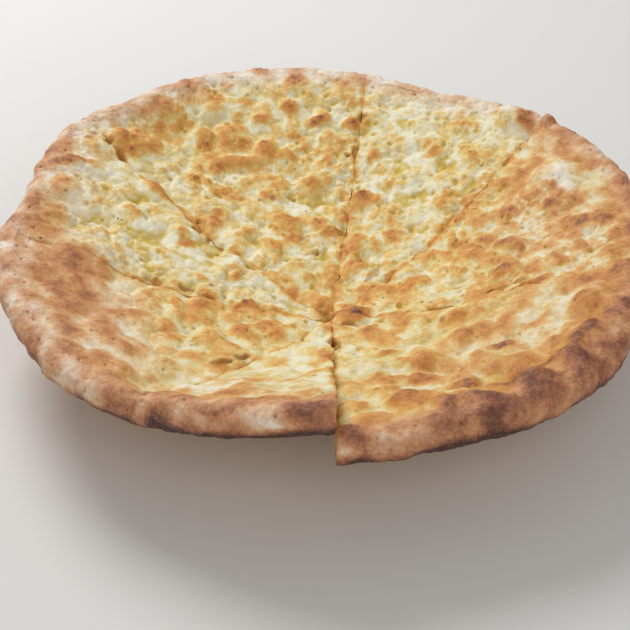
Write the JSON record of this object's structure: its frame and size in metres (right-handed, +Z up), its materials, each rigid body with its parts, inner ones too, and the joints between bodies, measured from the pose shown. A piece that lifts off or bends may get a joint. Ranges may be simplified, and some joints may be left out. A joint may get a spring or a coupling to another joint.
{
  "type": "round focaccia bread, cut",
  "caption": "Round flat focaccia with a browned, craggy top and rolled rim, sagged into a shallow dish and cut into slices that still lie together.",
  "frame": {"origin": "centre of the bounding box, at the level of the flat spot that the bread stands on", "axes": "+Z up out of the dish; -Y towards the near side, where one slice stands up above its neighbours; +X to the right seen from there"},
  "size_m": [0.2986, 0.2993, 0.072],
  "materials": {
    "crust": "matt baked crust, pale in the clefts and golden brown on the lumps and rim"
  },
  "bodies": {
    "root": {"slice_right_back": "crust", "slice_back_right": "crust", "slice_back_left": "crust", "slice_left_back": "crust", "slice_left_front": "crust", "slice_front_left": "crust", "slice_front_right": "crust"}
  },
  "joints": []
}
